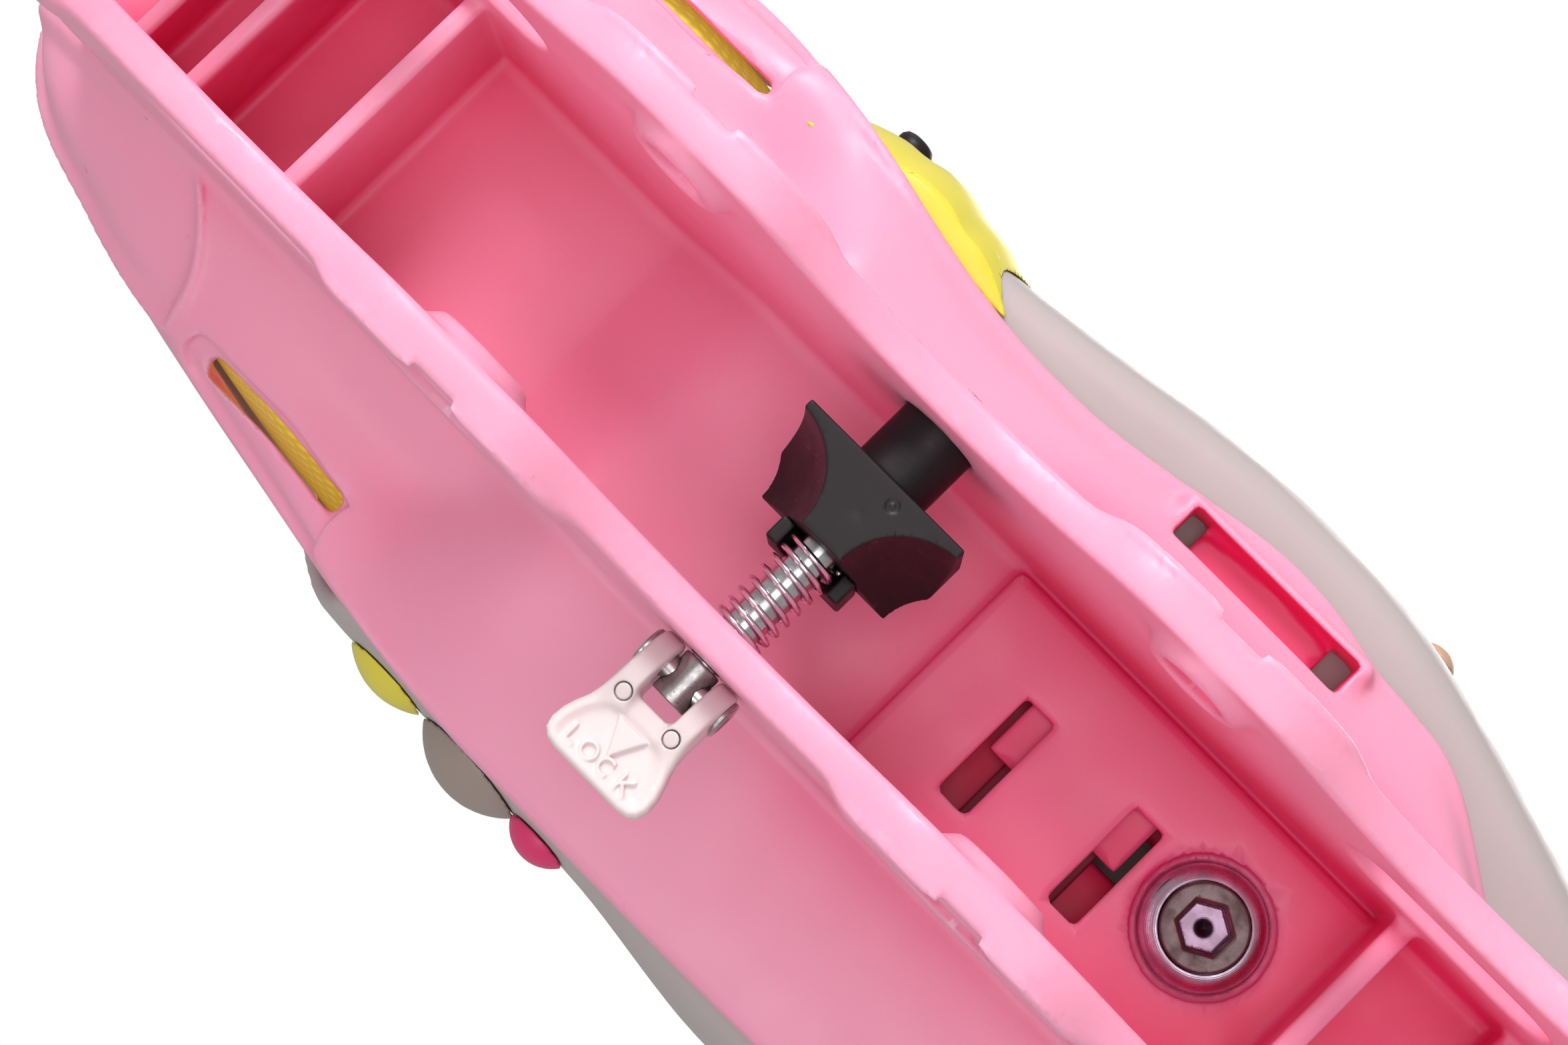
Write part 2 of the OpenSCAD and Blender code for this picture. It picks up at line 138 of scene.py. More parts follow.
def to_mesh(name, pts, tris, quads):
    pts = np.asarray(pts, float)
    t = np.concatenate([tris, quads[:, :3], quads[:, [0, 2, 3]]]) if len(quads) else tris
    p = pts - pts.mean(0)
    if np.einsum("ij,ij->i", p[t[:, 0]], np.cross(p[t[:, 1]], p[t[:, 2]])).sum() < 0:
        tris, quads = tris[:, ::-1], quads[:, ::-1]
    me = bpy.data.meshes.new(name)
    me.vertices.add(len(pts))
    me.vertices.foreach_set("co", (pts*MM).astype(np.float32).ravel())
    loops = np.concatenate([quads.ravel(), tris.ravel()]).astype(np.int32)
    me.loops.add(len(loops))
    me.loops.foreach_set("vertex_index", loops)
    me.polygons.add(len(quads) + len(tris))
    starts = np.concatenate([np.arange(len(quads))*4, len(quads)*4 + np.arange(len(tris))*3])
    me.polygons.foreach_set("loop_start", starts.astype(np.int32))
    me.polygons.foreach_set("use_smooth", np.ones(len(quads) + len(tris), bool))
    me.update(calc_edges=True)
    me.validate()
    ob = bpy.data.objects.new(name, me)
    bpy.context.scene.collection.objects.link(ob)
    return ob

def wall(rows, n, close=False):
    """Quads between neighbouring rows of n points, each row closed on itself."""
    i, j = np.meshgrid(np.arange(rows if close else rows - 1), np.arange(n), indexing="ij")
    here, below, after = i*n, (i + 1) % rows*n, (j + 1) % n
    return np.stack([here + j, here + after, below + after, below + j], -1).reshape(-1, 4)

def lid(start, n):
    """Quads that fill a ring of n points whose first one has the index start."""
    q = np.arange(n//2 - 1)
    return np.stack([start + q, start + q + 1, start + n - 2 - q, start + n - 1 - q], -1)

def lathe(name, profile, axis, at, n=96, sharp=35):
    """Turns a closed (radius, along) outline about an axis through at. Points of radius 0 close on the axis."""
    pr = np.array(profile, float)
    a = np.arange(n)/n*2*math.pi
    turned = np.stack([pr[:, 0][:, None]*np.cos(a), pr[:, 0][:, None]*np.sin(a),
        np.repeat(pr[:, 1][:, None], n, 1)], -1)
    quads = wall(len(pr), n, True)
    pts = turned.reshape(-1, 3)
    pts = {"z": pts, "x": pts[:, [2, 0, 1]], "y": pts[:, [1, 2, 0]]}[axis] + np.array(at, float)
    ob = to_mesh(name, pts, np.zeros((0, 3), int), quads)
    bm = bmesh.new()
    bm.from_mesh(ob.data)
    bmesh.ops.remove_doubles(bm, verts=bm.verts, dist=2e-6)
    bmesh.ops.dissolve_degenerate(bm, edges=bm.edges, dist=1e-7)
    bmesh.ops.recalc_face_normals(bm, faces=bm.faces)
    bm.to_mesh(ob.data)
    bm.free()
    ob.data.polygons.foreach_set("use_smooth", np.ones(len(ob.data.polygons), bool))
    ob.data.set_sharp_from_angle(angle=math.radians(sharp))
    return ob

# ---------------------------------------------------------------- shared outlines
def curve(pts, sigma=0.0):
    xs = np.arange(-130, 200, 0.5)
    p = np.array(pts, float)
    v = np.interp(xs, p[:, 0], p[:, 1])
    if sigma:
        t = np.arange(-4*sigma, 4*sigma + 0.5, 0.5)
        w = np.exp(-t*t/(2*sigma*sigma))
        w /= w.sum()
        v = np.convolve(np.pad(v, len(w)//2, mode="edge"), w, mode="valid")[:len(xs)]
    return lambda x: np.interp(x, xs, v)

RING_POWER = 3.0
RING_POINTS = 360

def ring(a, b, wl, wr, z, k=1.0):
    """One level of a hull from x = a to b: half widths wl and wr times k, rounded as a superellipse."""
    n = RING_POINTS
    f = (np.arange(n) + 0.5)/n*2*math.pi
    c, s = np.cos(f), np.sin(f)
    x = (a + b)/2 - (b - a)/2*c
    e = (1 - np.abs(c)**RING_POWER)**(1/RING_POWER)
    at = lambda q: q(x) if callable(q) else np.full(n, float(q))
    w = np.where(s > 0, at(wl), at(wr))
    zz = at(z)
    return np.stack([x, np.where(s > 0, 1, -1)*w*k*e, zz], -1)

LOFT_STEPS = 7
BAND = 8

def loft_field(grid, rings):
    """Distance to the closed hull through the rings, exact within BAND voxels of its surface."""
    R = np.array(rings)
    P = np.concatenate([R[:1], R, R[-1:]])
    out = []
    for i in range(len(R) - 1):
        p0, p1, p2, p3 = P[i], P[i + 1], P[i + 2], P[i + 3]
        for t in np.arange(LOFT_STEPS)/LOFT_STEPS:
            out.append(0.5*(2*p1 + (p2 - p0)*t + (2*p0 - 5*p1 + 4*p2 - p3)*t*t
                + (3*p1 - p0 - 3*p2 + p3)*t**3))
    out.append(R[-1])
    V = np.array(out)
    m, n = V.shape[:2]
    quads = np.concatenate([wall(m, n), lid(0, n), lid((m - 1)*n, n)]).astype(np.uint32)
    pts = V.reshape(-1, 3).astype(np.float32)
    g = vdb.FloatGrid.createLevelSetFromPolygons(pts, quads=quads, halfWidth=BAND,
        transform=vdb.createLinearTransform(voxelSize=grid.h))
    arr = np.full(tuple(grid.n), BAND*grid.h, np.float32)
    g.copyToArray(arr, ijk=tuple(int(v) for v in grid.i0))
    return arr

def middle(node):
    """Centre of a CAD node's box at rest, in millimetres."""
    lo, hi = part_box(node)
    return [(a + b)/2/MM for a, b in zip(lo, hi)]

PITCH = 74.0
MID = middle("lock_block")[0]
AX = [PITCH*i for i in (-1, 0, 1, 2)]
CLAMP = middle("frame_bolt")[0]
YI, YO = 14.9, 19.1
HEEL, ARCH, EDGE = 46.0, 38.0, 50.2
LOCK_Z, PIN_Y = middle("lock_bolt")[2], middle("lever_pin")[1]
CAM_R = 5.25
CAM_Y = PIN_Y + CAM_R - 2.8
CUP = 112.0
cup_edge = [(6, EDGE), (0, EDGE + 1.4)]
cup_edge += [(-2.6 - 44*t**1.75, EDGE + (CUP + 1 - EDGE)*t) for t in np.arange(1, 11)/10]

def above_edge(g):
    """The side-view region in front of the heel cup's edge and above the sole, moved in by g."""
    u = max(g, 0)
    return [(190, EDGE + u)] + [(a + g, b + u) for a, b in cup_edge] + [(-52 + g, 140), (190, 140)]

HEEL_L, HEEL_R, BALL, FAR, WAIST, TOE = 40.6, 44.6, 44.9, 37.0, 33.8, 25.2
SHELL_W = 49.2

def WL(x):
    return HEEL_L + 6*ease(x, -58, -88) + (BALL - HEEL_L)*ease(x, -45, 25) - (BALL - TOE)*ease(x, 100, 126)

def WR(x):
    return (HEEL_R + 4.5*ease(x, -58, -88) - (HEEL_R - WAIST)*ease(x, -25, 38)
        + (FAR - WAIST)*ease(x, 42, 70) - (FAR - TOE)*ease(x, 98, 126))

def TL(x):
    return SHELL_W - 2.4 + 3*ease(x, 20, -20) + 2.4*ease(x, 37, 64) - 7*ease(x, 90, 157)

def TR(x):
    return SHELL_W - 7.2 + 2*ease(x, 20, -20) + 4.9*ease(x, 24, 70) - 6.5*ease(x, 80, 130)

def FLAT28(x): return 28 - 4*ease(x, 106, 124)
def FLAT21(x): return 21 - 1.2*ease(x, 112, 124)

# ---------------------------------------------------------------- the moulded base
def make_base():
    G = Grid((-90, -50, -9), (163, 50, 114), 0.5)
    zb = curve([(-90, HEEL), (-3, HEEL), (11, ARCH), (160, ARCH)], 0.8)
    z1 = lambda x: 48.5 + 3.1*ease(x, -45, -6) - 11.2*ease(x, -6, 15)
    z2 = lambda x: 56 - 2*ease(x, -60, -20) - 9*ease(x, -24, 22)
    z3 = lambda x: 66 - 4*ease(x, -60, -20) - 11.8*ease(x, -24, 10)
    floor_edge = lambda x: HEEL + 0.6 - (HEEL - ARCH + 0.3)*ease(x, -1, 15)
    D = loft_field(G, [
        ring(-76, 144, 17, 17, zb),
        ring(-78, 145.5, FLAT21, FLAT21, floor_edge),
        ring(-80.5, 147.5, FLAT28, FLAT28, z1),
        ring(-83, 150, WL, WR, z2, 0.93),
        ring(-84, 152, WL, WR, z3),
        ring(-84.4, 152, WL, WR, 78, 0.995),
        ring(-84, 152, WL, WR, 92, 0.975),
        ring(-81.5, 150, WL, WR, 112, 0.94),
        ring(-80, 149, WL, WR, 122, 0.92)])
    s, x, y, z = G.all()
    A = np.abs(y)
    # recessed heel field with a raised bead round it
    xb = -40.3 - (np.minimum(A - 33, 0)/11)**2*6 - np.maximum(z - 55.5, 0)**1.5*0.9
    off = (x - xb)/np.sqrt(1 + 1.82*np.maximum(z - 55.5, 0))
    on = step((A - 19.5)/2)*step((86 - z)/12)
    D = D + on*(1.1*step(0.5 - off/1.6) - 0.95*np.exp(-(off/0.95)**2))
    G.d = np.maximum(D, -(D + 3.2)).astype(np.float32)
    e = poly(x[:, 0, :], z[0, :, :], above_edge(0))[:, None, :]
    G.d = smax(G.d, -e, 0.9)
    G.d = smax(G.d, z - 112, 2.0)
    # rails, worked out for both sides at once
    S, x, y, z = G.part((-89, -22, -9), (163, 22, 50), 1)
    A = np.abs(y)
    X2, Z2 = x[:, 0, :], z[0, :, :]
    tail, nose = AX[0], AX[3]
    prof = poly(X2, Z2, [
        (tail - 13.6, 5), (tail - 13.8, 0), (tail - 12.4, -4), (tail - 9.6, -6.9), (tail - 6, -8),
        (nose + 6, -8), (nose + 9.6, -6.9), (nose + 12.4, -4), (nose + 13.8, 0), (nose + 13.6, 5),
        (nose + 9, 18), (nose - 3, 39.5), (11, 39.5), (-3, 47.5), (tail + 3, 47.5), (tail - 10, 22)])
    for i in range(3):
        prof = smax(prof, 42 - length(X2 - (AX[i] + MID), Z2 + 41), 3)
    rail = np.maximum(YI - A, A - YO) + 0*x + 0*z
    for a in AX:
        rho = length(x - a, z)
        rail = smin(rail, cone(rho, A, 19.5, 18.9, 16, 20.4, 0.6), 0.8)
        rail = smin(rail, cone(rho, A, 5.8, YI - 1.7, 7.9, YI + 0.5, 0.3), 0.4)
    rail = smax(rail, prof[:, None, :], 1.05)
    for i in (0, 2):
        rail = smax(rail, -stadium(x - (AX[i] + MID + 0.5), z - 15, 28, 12), 1.0)
    for a in AX:
        rho = length(x - a, z)
        rail = smax(rail, 4 - rho, 0.6)
        rail = smax(rail, -np.maximum(rho - 8, 19.4 - A), 0.4)
    rho = length(x - MID, z - LOCK_Z)
    rail = smax(rail, np.where(y > 0, 2.4, 4.85) - rho, 0.5)
    G.d[S] = smin(G.d[S], rail, 1.6)
    # cross ribs
    ribs = ((-63, 2.2, 37, HEEL), (-52.4, 2.4, 30, HEEL), (-35.2, 2.4, 25, HEEL), (106.8, 2.7, 25, ARCH),
        (124, 2.4, 31, ARCH))
    for a, t, low, top in ribs:
        G.add((a, -16, low), (a + t, 16, top + 1.5),
            lambda x, y, z: rbox(x, y, z, (a, -15.8, low), (a + t, 15.8, top + 1.5), 0.5), 0.9)
    G.cut((-36, -2, 24), (-32, 1, 27), lambda x, y, z: np.maximum(
        abs(length(x + 34.0, y + 0.8) - 0.9) - 0.15, z - 25.25), 0.1)
    # raised platform
    G.add((52, -14, 36), (108, 16, 40), lambda x, y, z: smax(
        length(np.maximum(abs(x - 79.6) - 26.4, 0), np.maximum(abs(y - 1.5) - 14.3, 0)) - 1.0,
        abs(z - 38.5) - 2.0, 0.7), 0.6)
    # strap bar and the openings beside it
    bow = lambda x: 2.0*(1 - ((x - 74)/13.5)**2)
    G.add((58, -36, 41), (89, -25, 50),
        lambda x, y, z: rbox(x, y, z, (58.8, -35, 42.5), (88.2, -26, 49.8), 1.6), 1.6)
    G.cut((60, -34, 34), (87, -27, 48),
        lambda x, y, z: rbox(x, y, z, (60.8, -33.8, 30), (86.2, -29.4, 47.6), 0.3), 0.4)
    bar = lambda x, y, z: length(np.maximum(abs(x - 74) - 12.2, 0), (y + 33.5 + bow(x))*0.95,
        np.maximum(abs(z - 47.6) - 0.6, 0)) - 1.75
    G.add((59, -39, 44), (89, -33, 51), lambda x, y, z: smax(bar(x, y, z), z - 50.1, 0.5), 0.5)
    for a, w in ((60.8, 2.4), (82.8, 3.4)):
        G.cut((a, -34, 38), (a + w, -29, 52),
            lambda x, y, z: rbox(x, y, z, (a, -33.8, 36), (a + w, -29.4, 56), 0.2), 0.2)
    # slots, clamp seat and bolt hole
    for a in (64.8, 81.7):
        G.cut((a - 3, -5, 30), (a + 3, 11, 44),
            lambda x, y, z: rbox(x, y, z, (a - 2.18, -4.18, 28), (a + 2.18, 9.97, 46), 0.15), 0.15)
    G.cut((85, -9, 34), (103, 9, 38), lambda x, y, z: disc(length(x - CLAMP, y), z, 8.15, 30, 37.6, 0.1), 0.3)
    G.cut((90, -4, 34), (98, 4, 48), lambda x, y, z: length(x - CLAMP, y) - 2.7 + 0*z, 0.1)
    G.cut((56, -13.2, 38.6), (87, 13.2, 47),
        lambda x, y, z: rbox(x, y, z, (56, -13.2, 38.6), (87, 13.2, 50), 0.1), 0.1)
    # oval windows in the heel cup: a shallow dish with a slit along its inner side
    for sg in (-1, 1):
        lo, hi = ((-40, 31, 49), (-4, 50, 63)) if sg > 0 else ((-40, -50, 49), (-4, -31, 63))
        S, x, y, z = G.part(lo, hi)
        u, A = x + 22, sg*y
        dish = smax(stadium(u, z - 55.6 + 0.035*u, 29.6, 7.2), -(D[S] + 1.4), 0.8)
        dish = smax(dish, 32.6 + 1.6*ease(x, -22, -8) - A, 0.8)
        mid_y, wide = (34.5 + 1.1*ease(x, -24, -8), 2.5) if sg > 0 else (34.6 + 0*x, 2.0)
        slit = smax(stadium(x + 21.5, A - mid_y, 24, wide), abs(z - 55) - 5, 0.3)
        G.d[S] = smax(smax(G.d[S], -dish, 0.9), -slit, 0.5)
    return G.mesh("base_moulding", 0.012)

def make_shell():
    G = Grid((-40, -54, 48), (158, 54, 96), 0.7)
    D = shell_rings(G)
    SKIN[:] = [G, D]
    s, x, y, z = G.all()
    d = smax(D, 50.75 - z, 1.2)
    d = smax(np.maximum(d, -(D + 2.6)), z - 94, 1.6)
    G.d = smax(d, poly(x[:, 0, :], z[0, :, :], above_edge(0.5))[:, None, :], 1.4).astype(np.float32)
    return G.mesh("toe_shell_skin", 0.01)

# ---------------------------------------------------------------- soft parts
LL = curve([(-80, 37), (-45, 37.1), (-25, 37.8), (0, 38.5), (34, 41), (69, 41.5), (105, 37), (150, 32)], 6)
LR = curve([(-80, 39), (-50, 41), (-25, 40.6), (0, 36), (34, 35.5), (69, 38), (105, 34), (150, 30)], 6)
LU = curve([(-80, 33.6), (-40, 31.5), (-25, 30), (0, 27.5), (34, 27), (62, 26), (100, 24)], 6)
LT = curve([(-80, 28), (-40, 27.5), (0, 26), (60, 24)], 6)

def make_liner():
    G = Grid((-79, -43, 53), (148, 43, 119), 0.9)
    D = loft_field(G, [
        ring(-72, 136, LL, LR, 54, 0.73),
        ring(-77, 144, LL, LR, 57.8, 0.88),
        ring(-78, 147, LL, LR, 66, 0.995),
        ring(-78, 134, LL, LR, 78, 0.945),
        ring(-77.5, 116, LU, LU, 86, 1.045),
        ring(-76, 98, LU, LU, 93),
        ring(-73.5, 80, LT, LT, 104, 1.02),
        ring(-72, 62, LT, LT, 116),
        ring(-72, 60, LT, LT, 124)])
    s, x, y, z = G.all()
    # quilted channels round the ankle and a rolled collar
    q = np.minimum(abs(z - 98), np.minimum(abs(z - 88), abs(z - 108)))
    v = np.abs(((x + 4) % 24) - 12)
    upper = step((z - 84)/4)
    pad = 0.55*np.exp(-(q/1.3)**2)*upper + 0.4*np.exp(-(v/1.2)**2)*step((z - 84)/5)*step((112 - z)/3)
    collar = 1.5*np.exp(-((z - 113.5)/3.4)**2)
    bulge = 1.5*np.exp(-((x + 22)/12)**2 - ((z - 57.5)/4)**2)*step((np.abs(y) - 24)/5)
    d = np.maximum(D + pad + 0.15 - bulge, -(D + 3.9 + collar*1.3 - pad*0.6))
    G.d = smax(smax(d, z - 117.8, 3.2), 53.8 - z, 1.5).astype(np.float32)
    return G.mesh("liner_padding", 0.008)

def make_insole():
    G = Grid((-64, -28, 57), (122, 28, 63), 0.5)
    R = ring(-62, 120, LL, LR, 0, 0.575)
    s, x, y, z = G.part((-64, -28, 57), (122, 28, 63))
    flat_x, flat_y = np.broadcast_arrays(x[:, :, 0], y[:, :, 0])
    edge = poly(flat_x, flat_y, [(a, b) for a, b, _ in R[::4]])[:, :, None]
    weave = 0.12*np.sin(x*1.6)*np.sin(y*1.6)*step(-(edge + 3)/1.5)
    groove = 0.45*np.exp(-((edge + 2.6)/0.6)**2)
    G.d[s] = smax(edge, abs(z - 58.9) - 1.25 + groove - weave, 1.4)
    return G.mesh("insole_sheet", 0.01)

# ---------------------------------------------------------------- wheel lock
def make_lever():
    G = Grid((29, 18.5, 7.6), (45, 37.2, 19.2), 0.12)
    s, x, y, z = G.all()
    u = x - MID
    flat_u, flat_y = np.broadcast_arrays(u[:, :, 0], y[:, :, 0])
    flank = [(5.2, 27), (5.3, 28.2), (5.7, 29.4), (6.4, 30.9), (6.95, 32.6), (7.1, 34.2), (6.75, 35.4),
        (5.9, 36.1), (4.6, 36.35)]
    outline = [(-5.2, YO), (5.2, YO)] + flank + [(-a, b) for a, b in flank[::-1]]
    plan = poly(flat_u, flat_y, outline)[:, :, None]
    rho = length(y - CAM_Y, z - LOCK_Z)
    paddle = smax(smax(plan, abs(z - (LOCK_Z - 1.7)) - 1.7, 1.3), CAM_Y - y, 0.3)
    cams = smax(smax(np.abs(u) - 5.2, 2.45 - np.abs(u), 0.3), rho - CAM_R, 0.7)
    d = smin(paddle, cams, 1.4)
    d = smax(d, -rbox(u, y, z, (-2.45, YO - 3, 0), (2.45, YO + 7.3, 30), 0.95), 0.5)
    # dished face with its raised marks
    face = LOCK_Z - 3.4
    bowl = smax(plan + 1.5, 28.9 + 0.05*u*u - y, 1.2)
    d = smax(d, -smax(bowl, z - (face + 0.62), 1.0), 1.1)
    arrow = smax(-(y - 29.2), (y - 29.2)*0.46 + np.abs(u)*0.887 - 1.85, 0.3)
    tri = smax(arrow, abs(z - (face + 0.45)) - 0.42, 0.35)
    d = smin(d, tri, 0.25)
    def stroke(ax, ay, bx, by, r=0.2):
        ex, ey = bx - ax, by - ay
        t = np.clip(((u - ax)*ex + (y - ay)*ey)/(ex*ex + ey*ey), 0, 1)
        return length(u - ax - ex*t, y - ay - ey*t) - r
    marks = stroke(-4.55, 33.0, -4.55, 34.9)
    marks = np.minimum(marks, stroke(-4.55, 34.9, -3.55, 34.9))
    marks = np.minimum(marks, np.abs(length((u + 1.75)*1.0, y - 33.95) - 0.92) - 0.2)
    arc = np.maximum(np.abs(length(u - 0.8, y - 33.95) - 0.92) - 0.2, (u - 0.8) - 0.55)
    marks = np.minimum(marks, arc)
    for ends in ((2.75, 33.0, 2.75, 34.9), (2.85, 34.1, 4.0, 33.0), (3.1, 33.9, 4.0, 34.9)):
        marks = np.minimum(marks, stroke(*ends))
    d = smin(d, smax(marks, abs(z - (face + 0.5)) - 0.34, 0.2), 0.25)
    # ejector marks on the arms
    for uu, dep in ((3.5, 0.2), (-3.5, 0.12)):
        r = length(u - uu, y - 27.2)
        d = smax(d, -np.maximum(np.abs(r - 0.93) - 0.09, z - (face + dep)), 0.1)
    d = smax(d, 1.55 - length(y - PIN_Y, z - LOCK_Z), 0.15)
    G.d = d.astype(np.float32)
    return G.mesh("lever_moulding", 0.01)

def make_eye():
    G = Grid((34.5, 19.2, 10.8), (39.5, 24.8, 15.8), 0.09)
    s, x, y, z = G.all()
    r = 2.35 - 0.10*np.exp(-((y - 22.1)/1.3)**2)
    d = smax(length(x - MID, z - LOCK_Z) - r, abs(y - 22) - 2.68, 0.35)
    d = smax(d, 1.51 - length(y - PIN_Y, z - LOCK_Z), 0.1)
    G.d = smax(d, -np.maximum(length(x - MID, z - LOCK_Z) - 1.81, y - PIN_Y), 0.05).astype(np.float32)
    return G.mesh("bolt_eye", 0.01)

def make_block():
    G = Grid((25.6, -7.8, 5.8), (48.4, 2.4, 21.2), 0.15)
    s, x, y, z = G.all()
    d = rbox(x, y, z, (25.85, -7.6, 6), (48.15, 2.2, 21), 0.25)
    for a in (0, 74):
        rho = length(x - a, z)
        d = smax(d, 8.7 - length(rho - 26, y - 2.2), 0.18)
        d = smax(d, -np.maximum(rho - 26, abs(y - 2.2) - 8.7), 0.15)
    # shallow sink mark and gate scar on the face towards the ground
    d = smax(d, -(length(x - 37, (y + 2.7)*1.6, (z - 1.6)) - 4.46), 0.5)
    d = smax(d, -disc(length(x - 39.6, y + 5.6), z, 0.75, 5, 6.14, 0.05), 0.1)
    d = smin(d, disc(length(x - 39.6, y + 5.6), z, 0.32, 6.02, 6.4, 0.08), 0.1)
    G.d = smax(d, BOLT_HOLE - length(x - MID, z - LOCK_Z), 0.1).astype(np.float32)
    return G.mesh("block_moulding", 0.01)

BOLT_HOLE = 2.27

def make_seat():
    G = Grid((31.5, 2.1, 12.6), (42.5, 5.5, 21.2), 0.16)
    s, x, y, z = G.all()
    d = rbox(x, y, z, (31.7, 2.25, 12.8), (42.3, 5.25, 21), 0.35)
    G.d = smax(d, 3.66 - length(x - MID, z - LOCK_Z), 0.25).astype(np.float32)
    return G.mesh("seat_moulding", 0.01)

def make_guide():
    G = Grid((32, -19.6, 8.4), (42, -7.5, 18.2), 0.16)
    s, x, y, z = G.all()
    rho = length(x - MID, z - LOCK_Z)
    d = disc(rho, y, 4.74, -19.4, -7.61, 0.35)
    d = smax(d, 2.28 - rho, 0.1)
    G.d = smax(d, -np.maximum(rho - 3.92, y + 16.42), 0.15).astype(np.float32)
    return G.mesh("guide_sleeve", 0.01)

def hexa(u, v, af):
    a, b = np.abs(u), np.abs(v)
    return np.maximum(a*0.8660254 + b*0.5, b) - af/2

def make_bolt():
    G = Grid((88.7, -5.2, 34.2), (99.1, 5.2, 50), 0.12)
    s, x, y, z = G.all()
    u = x - CLAMP
    rho = length(u, y)
    head = disc(rho, z, 4.98, 34.42, 36.8, 0.28)
    turn = np.abs(((z/0.8 - np.arctan2(y, u)/6.2832) % 1)*2 - 1)
    shank = np.maximum(rho - 2.5 + 0.16*turn*step((z - 41)/0.5), abs(z - 43.2) - 6.5)
    head = smin(head, shank, 0.1)
    chamfer = hexa(y, u, 5.0) - 0.55*np.clip((34.97 - z)/0.55, 0, 1)
    lead = rho - 2.95 + 0.9*np.maximum(z - 34.42, 0)
    head = smax(head, -np.maximum(np.minimum(chamfer, lead), z - 36.35), 0.06)
    G.d = smax(head, -np.maximum(rho - 1.35, z - 36.9 + 0.55*rho), 0.1).astype(np.float32)
    return G.mesh("bolt_steel", 0.006)

def make_nut(name, c, axis, af, t0, t1, hole, square=False):
    span = af*0.66
    lo, hi = [v - span for v in c], [v + span for v in c]
    k = "xyz".index(axis)
    lo[k], hi[k] = t0 - 0.2, t1 + 0.2
    G = Grid(lo, hi, 0.14)
    s, x, y, z = G.all()
    v = [x - c[0], y - c[1], z - c[2]]
    t = (x, y, z)[k]
    v.pop(k)
    rho = length(*v)
    out = np.maximum(abs(v[0]), abs(v[1])) - af/2 if square else hexa(v[0], v[1], af)
    lim = af*0.5/0.8660254 if not square else af*0.66
    d = smax(out, abs(t - (t0 + t1)/2) - (t1 - t0)/2, 0.15)
    d = smax(d, rho + abs(t - (t0 + t1)/2)*0.9 - (lim - 0.1 + (t1 - t0)*0.4), 0.15)
    thread = 0.12*np.abs((((t - t0)/0.8) % 1)*2 - 1)
    G.d = smax(d, hole + 0.02 + thread - rho, 0.05).astype(np.float32)
    return G.mesh(name, 0.008)

def make_spring():
    turns, r, w, K, S = 8, 3.05, 0.34, 40, 12
    y0, y1 = 2.2 + w + 0.05, YI - w - 0.05
    n = turns*K
    a = np.arange(n + 1)/K*2*math.pi
    # the end turns lie closer together, as on a ground spring
    t = np.arange(n + 1)/n
    y = y0 + (y1 - y0)*(t + 0.018*np.sin(2*math.pi*t)*-1)
    b = np.arange(S)/S*2*math.pi
    rr = r + w*np.cos(b)[None]
    pts = np.stack([MID + rr*np.cos(a)[:, None], y[:, None] + w*np.sin(b)[None] + 0*rr,
        LOCK_Z + rr*np.sin(a)[:, None]], -1).reshape(-1, 3)
    quads = np.concatenate([wall(n + 1, S), lid(0, S)[:, ::-1], lid(n*S, S)])
    return to_mesh("spring_wire", pts, np.zeros((0, 3), int), quads)

# ---------------------------------------------------------------- small plates and ornaments
def slab(name, lo, hi, r, h=0.3, cuts=(), extra=()):
    G = Grid([a - 0.3 for a in lo], [b + 0.3 for b in hi], h)
    s, x, y, z = G.all()
    d = np.full(tuple(G.n), 9.0)
    for a, b in [(lo, hi)] if not extra else extra:
        d = smin(d, rbox(x, y, z, a, b, r), 0.4)
    for f in cuts:
        d = smax(d, -f(x, y, z), 0.2)
    G.d = d.astype(np.float32)
    return G.mesh(name, 0.01)

def cap(x, y, z, c, s, r, h, soft=0.5):
    q = (r*r + h*h)/(2*h)
    return smax(length(x - c[0], y - s*(c[1] + h - q), z - c[2]) - q, c[1] - 6 - s*y, soft)

def make_badge(name, c, s, r, h, hole=None, relief=None, clear=None):
    lo = [c[0] - r - 0.6, min(s*(c[1] - 6), s*(c[1] + h + 0.6)), c[2] - r - 0.6]
    hi = [c[0] + r + 0.6, max(s*(c[1] - 6), s*(c[1] + h + 0.6)), c[2] + r + 0.6]
    G = Grid(lo, hi, 0.25)
    S = skin_field(G)
    sl, x, y, z = G.all()
    d = cap(x, y, z, c, s, r, h)
    rho = length(x - c[0], z - c[2])
    if relief:
        d = d + relief(x, z, rho)
    if hole:
        d = smax(d, 2.62 - length(x - hole[0], z - hole[1]), 0.4)
    if clear:
        d = smax(d, -cap(x, y, z, *clear), 0.2)
    G.d = smax(d, 0.12 - S, 0.25).astype(np.float32)
    return G.mesh(name, 0.01)

def skin_field(G):
    """The toe shell's outer distance, looked up on another grid."""
    S, D = SKIN
    ax = [np.clip((np.arange(n) + o)*G.h/S.h - so, 0, sn - 1.001)
        for n, o, so, sn in zip(G.n, G.i0, S.i0, S.n)]
    i = [np.floor(a).astype(int) for a in ax]
    spread = ((slice(None), None, None), (None, slice(None), None), (None, None, slice(None)))
    f = [(a - b)[sl] for a, b, sl in zip(ax, i, spread)]
    out = 0
    for k in range(8):
        b = [(k >> j) & 1 for j in range(3)]
        w = 1
        for j in range(3):
            w = w*(f[j] if b[j] else 1 - f[j])
        out = out + w*D[np.ix_(*[i[j] + b[j] for j in range(3)])]
    return out

SKIN = []

